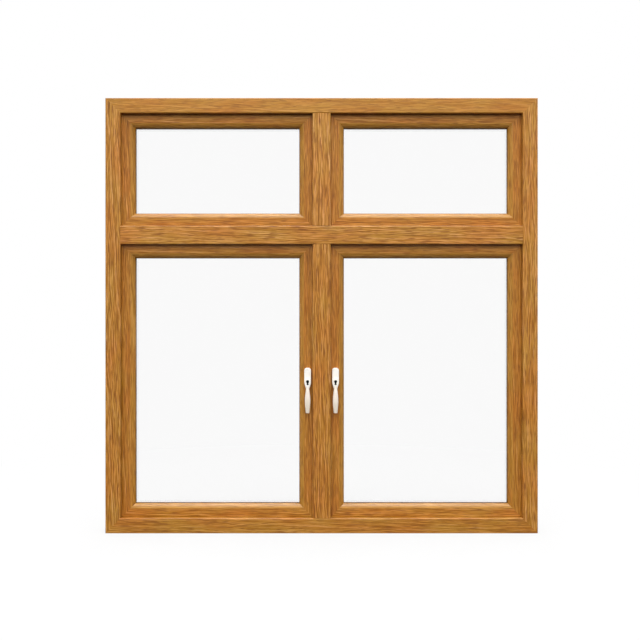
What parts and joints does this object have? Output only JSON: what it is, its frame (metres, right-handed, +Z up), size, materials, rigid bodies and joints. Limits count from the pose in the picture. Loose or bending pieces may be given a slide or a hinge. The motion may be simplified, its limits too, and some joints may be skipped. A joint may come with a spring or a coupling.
{
  "type": "double casement window",
  "caption": "Timber window with a mullion and a transom: side-hung casements with lever handles under fixed top lights, each a mitred sash with double glazing held by beads.",
  "frame": {"origin": "on the underside of the sill, at the middle of its length and of the frame's depth", "axes": "+X to the right seen from the room, +Y to the outside, +Z up"},
  "size_m": [1.5, 0.0912, 1.51],
  "materials": {
    "oak_frame": "satin golden oak stain",
    "oak_sash": "satin golden oak stain",
    "oak_bead": "satin golden oak stain",
    "clear_glass": "clear float glass",
    "warm_edge_spacer": "matt",
    "black_rubber": "matt",
    "stainless_steel": "brushed",
    "white_powder_coat": "satin white",
    "black_lock": "satin black"
  },
  "bodies": {
    "window": {"head": "oak_frame", "sill": "oak_frame", "left_jamb": "oak_frame", "right_jamb": "oak_frame", "transom": "oak_frame", "upper_mullion": "oak_frame", "lower_mullion": "oak_frame", "left_top_light_top_rail": "oak_sash", "left_top_light_bottom_rail": "oak_sash", "left_top_light_left_stile": "oak_sash", "left_top_light_right_stile": "oak_sash", "left_top_light_beads": "oak_bead", "left_top_light_glass": "clear_glass", "right_top_light_top_rail": "oak_sash", "right_top_light_bottom_rail": "oak_sash", "right_top_light_left_stile": "oak_sash", "right_top_light_right_stile": "oak_sash", "right_top_light_beads": "oak_bead", "right_top_light_glass": "clear_glass", "left_casement_top_rail": "oak_sash", "left_casement_bottom_rail": "oak_sash", "left_casement_left_stile": "oak_sash", "left_casement_right_stile": "oak_sash", "left_casement_beads": "oak_bead", "left_casement_glass": "clear_glass", "right_casement_top_rail": "oak_sash", "right_casement_bottom_rail": "oak_sash", "right_casement_left_stile": "oak_sash", "right_casement_right_stile": "oak_sash", "right_casement_beads": "oak_bead", "right_casement_glass": "clear_glass", "spacer_bars": "warm_edge_spacer", "inner_glazing_gaskets": "black_rubber", "outer_glazing_gaskets": "black_rubber", "inner_weather_seals": "black_rubber", "outer_weather_seals": "black_rubber", "friction_stays": "stainless_steel", "left_handle_base": "white_powder_coat", "right_handle_base": "white_powder_coat"},
    "left_handle": {"left_handle_lever": "white_powder_coat", "left_handle_lock": "black_lock"},
    "right_handle": {"right_handle_lever": "white_powder_coat", "right_handle_lock": "black_lock"}
  },
  "joints": [
    {"name": "left_handle_turn", "type": "hinge", "parent": "window", "child": "left_handle", "pos_m": [-0.0485, -0.03, 0.526], "axis": [0, 1, 0], "range_deg": [0, 90]},
    {"name": "right_handle_turn", "type": "hinge", "parent": "window", "child": "right_handle", "pos_m": [0.0485, -0.03, 0.526], "axis": [0, -1, 0], "range_deg": [0, 90]}
  ]
}
